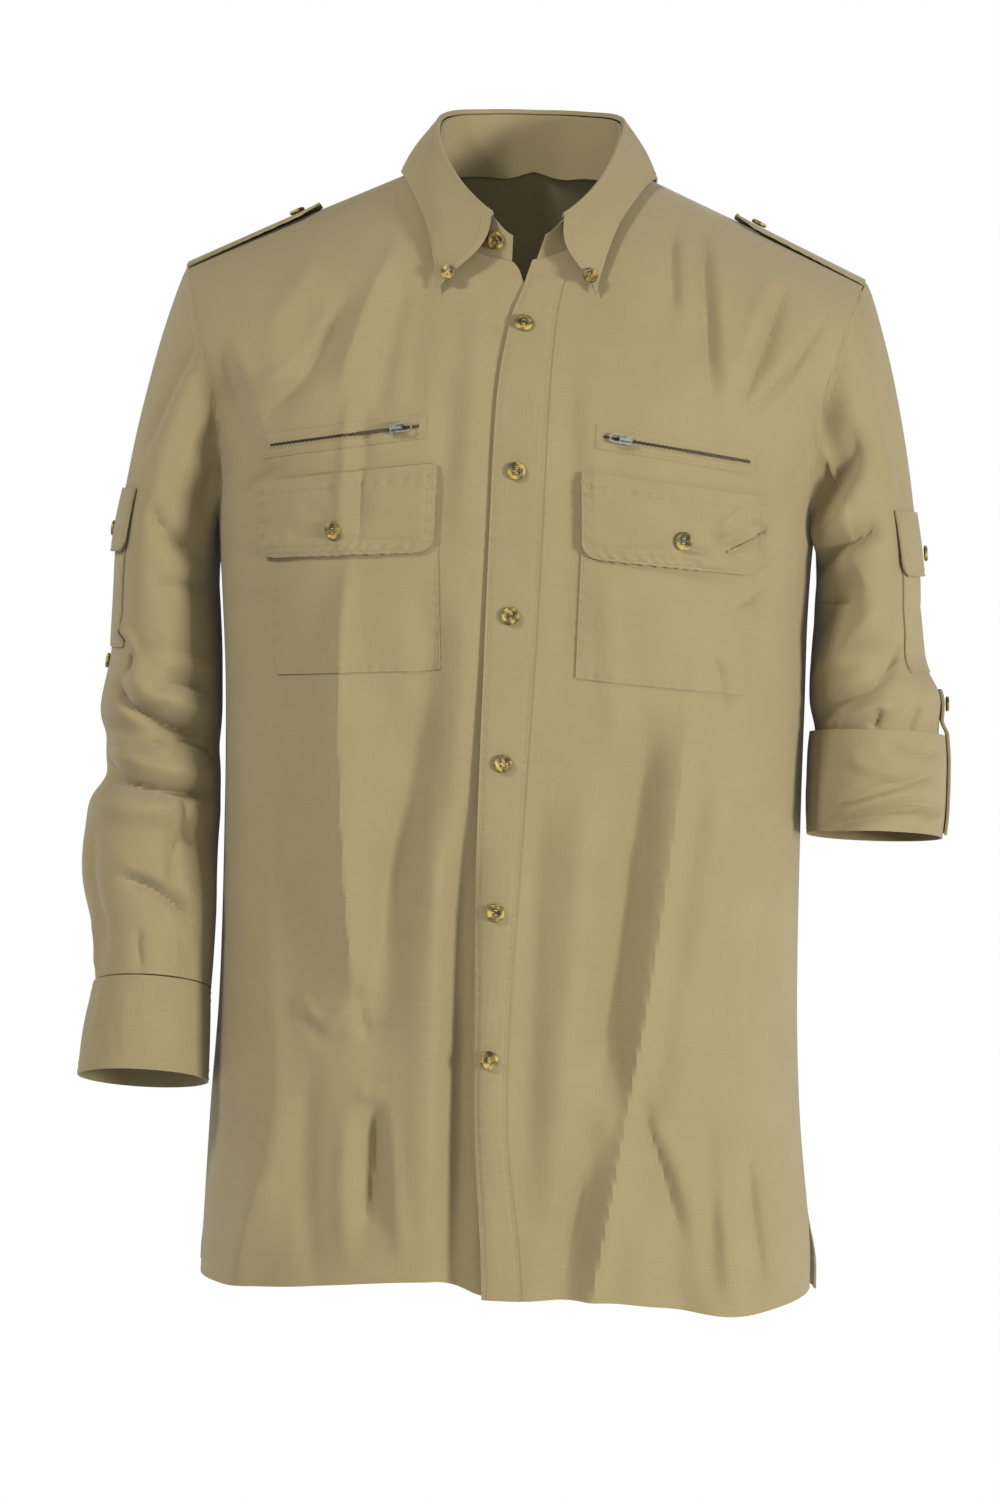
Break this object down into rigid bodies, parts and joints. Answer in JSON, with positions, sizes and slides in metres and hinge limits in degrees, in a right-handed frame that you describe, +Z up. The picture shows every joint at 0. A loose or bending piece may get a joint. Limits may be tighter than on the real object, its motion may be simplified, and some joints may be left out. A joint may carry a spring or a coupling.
{
  "type": "hunting shirt",
  "caption": "Long-sleeved hunting shirt in plain cloth, filled out as worn: one sleeve rolled, button-down collar, chest pockets with flaps and zips, epaulettes",
  "frame": {"origin": "midpoint between the two points where the shoulder ridges meet the neck hole, where the wearer's shoulders hold the shirt", "axes": "+X is the wearer's left, -Y is the front, +Z is up"},
  "size_m": [0.6178, 0.2984, 0.8542],
  "materials": {
    "cloth": "matt light olive-khaki cotton in a fine plain weave",
    "horn": "polished horn-look buttons, mottled yellow-tan and brown",
    "metal": "pale silver zip slider and ring pull",
    "zip": "dark spiral zip chain"
  },
  "bodies": {
    "shirt": {"front_right": "cloth", "front_left": "cloth", "back": "cloth", "yoke": "cloth", "sleeve_right": "cloth", "sleeve_left": "cloth", "cuff_right": "cloth", "sleeve_left_roll": "cloth", "cuff_left": "cloth", "placket": "cloth", "button_stand": "cloth", "pocket_right": "cloth", "pocket_flap_right": "cloth", "zip_lips_right": "cloth", "zip_chain_right": "zip", "zip_slider_right": "metal", "flap_button_right": "horn", "pocket_left": "cloth", "pocket_flap_left": "cloth", "zip_lips_left": "cloth", "zip_chain_left": "zip", "zip_slider_left": "metal", "flap_button_left": "horn", "placket_button_1": "horn", "placket_button_2": "horn", "placket_button_3": "horn", "placket_button_4": "horn", "placket_button_5": "horn", "placket_button_6": "horn", "collar_stand": "cloth", "collar": "cloth", "stand_button": "horn", "collar_button_right": "horn", "collar_button_left": "horn", "epaulette_right": "cloth", "epaulette_button_right": "horn", "epaulette_left": "cloth", "epaulette_button_left": "horn", "sleeve_pocket_right": "cloth", "sleeve_flap_right": "cloth", "sleeve_flap_button_right": "horn", "sleeve_pocket_left": "cloth", "sleeve_flap_left": "cloth", "sleeve_flap_button_left": "horn", "roll_tab_left": "cloth", "roll_button_left": "horn", "roll_button_right": "horn", "cuff_button_right": "horn"},
    "pull_right": {"zip_pull_right": "metal"},
    "pull_left": {"zip_pull_left": "metal"}
  },
  "joints": [
    {"name": "zip_pull_right", "type": "hinge", "parent": "shirt", "child": "pull_right", "pos_m": [-0.07807, -0.13863, -0.17982], "axis": [0.1272, -0.1393, -0.982], "range_deg": [0, 165]},
    {"name": "zip_pull_left", "type": "hinge", "parent": "shirt", "child": "pull_left", "pos_m": [0.0801, -0.1388, -0.18313], "axis": [0.1158, 0.1294, 0.9848], "range_deg": [0, 165]}
  ]
}
